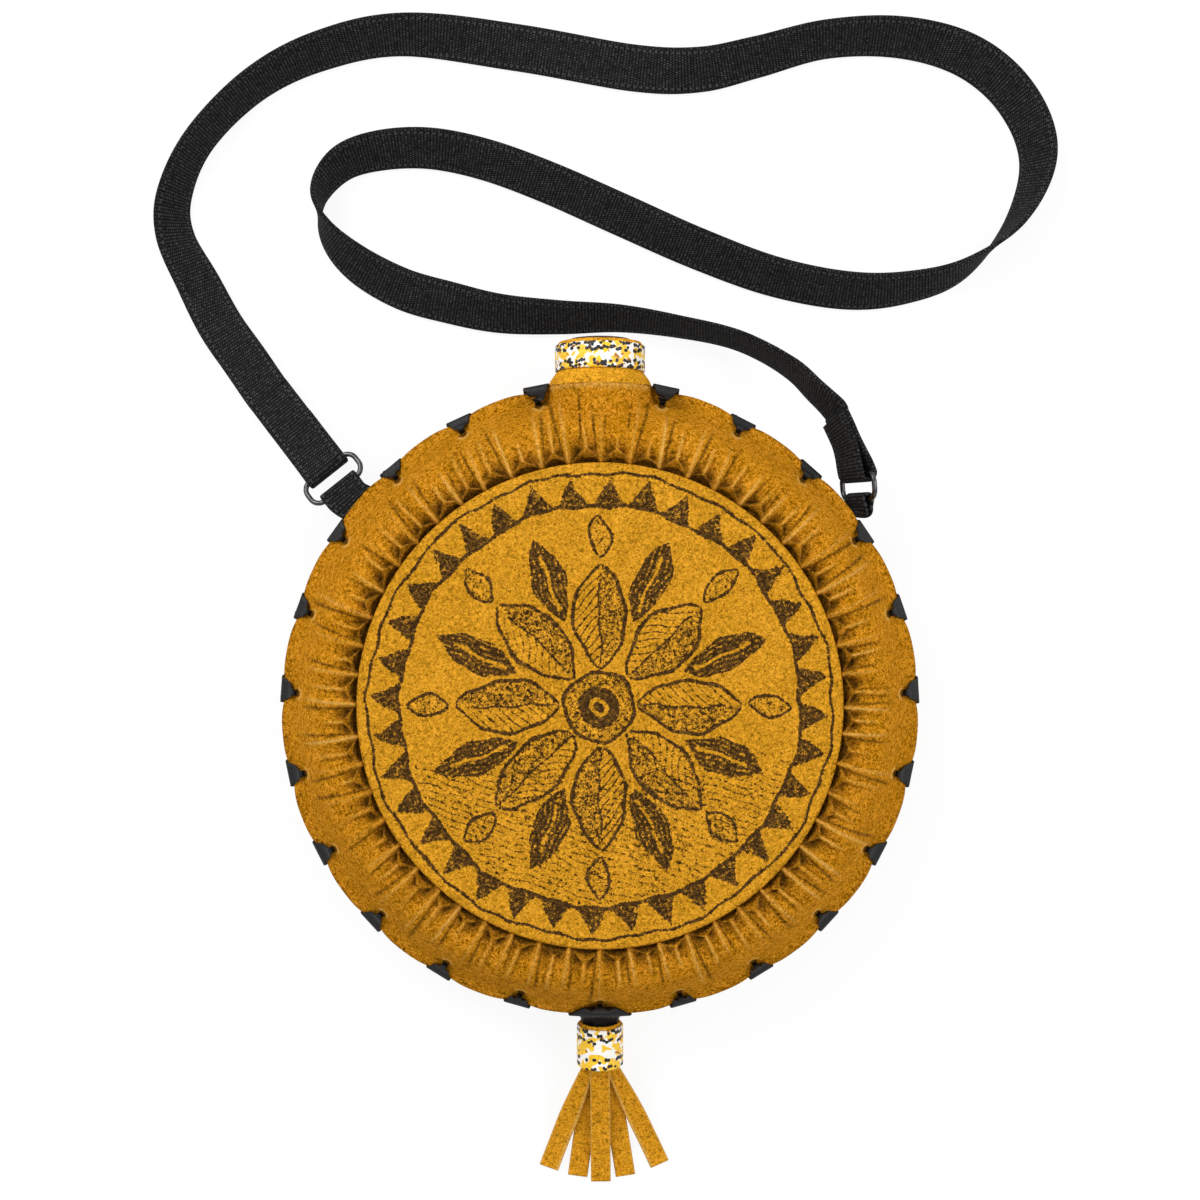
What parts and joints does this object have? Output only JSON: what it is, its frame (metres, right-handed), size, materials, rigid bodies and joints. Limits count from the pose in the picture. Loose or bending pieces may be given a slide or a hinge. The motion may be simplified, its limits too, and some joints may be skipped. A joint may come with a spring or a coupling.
{
  "type": "leather-covered canteen",
  "caption": "Round canteen in two gathered suede covers laced round the rim, with a banded neck, a corked mouth, a webbing shoulder strap on wire rings and a tassel",
  "frame": {"origin": "middle of the rear panel's flat face, which the canteen lies on", "axes": "+Y points out of the neck, +Z out of the front panel, +X to the right seen from the front"},
  "size_m": [0.3145, 0.4103, 0.0563],
  "materials": {
    "suede": "tan split suede with a short nap",
    "printed_band": "printed with a common spotted animal pattern",
    "black_lace": "flat black lace, slightly shiny",
    "black_webbing": "woven black webbing",
    "dark_wire": "dark plated wire",
    "flask_plastic": "plain, hidden by the covers",
    "cork": "natural cork",
    "dark_wood": "dark and turned"
  },
  "bodies": {
    "canteen": {"flask": "flask_plastic", "panel_front": "suede", "panel_rear": "suede", "ruffle_front": "suede", "ruffle_rear": "suede", "rim_lace": "black_lace", "neck_sleeve": "suede", "neck_band": "printed_band", "tab_left": "black_webbing", "tab_right": "black_webbing", "strap": "black_webbing", "tassel_loop": "black_lace"},
    "stopper": {"stopper_cork": "cork", "stopper_head": "dark_wood"},
    "left_ring": {"ring_left": "dark_wire", "strap_end_left": "black_webbing"},
    "right_ring": {"ring_right": "dark_wire", "strap_end_right": "black_webbing"},
    "tassel": {"tassel_sleeve": "suede", "tassel_band": "printed_band", "tassel_strip_1": "suede", "tassel_strip_2": "suede", "tassel_strip_3": "suede", "tassel_strip_4": "suede", "tassel_strip_5": "suede"}
  },
  "joints": [
    {"name": "stopper_pull", "type": "slide", "parent": "canteen", "child": "stopper", "axis": [0, 1, 0], "range_m": [0, 0.03]},
    {"name": "left_ring_swing", "type": "hinge", "parent": "canteen", "child": "left_ring", "pos_m": [-0.08825, 0.07237, 0.02589], "axis": [0.7826, 0.6225, 0], "range_deg": [0, 30]},
    {"name": "right_ring_swing", "type": "hinge", "parent": "canteen", "child": "right_ring", "pos_m": [0.08968, 0.06883, 0.02712], "axis": [0.4901, 0.187, 0.8514], "range_deg": [0, 16]},
    {"name": "tassel_swing", "type": "hinge", "parent": "canteen", "child": "tassel", "pos_m": [0, -0.1135, 0.019], "axis": [0, 0, 1], "range_deg": [-12, 12]}
  ]
}
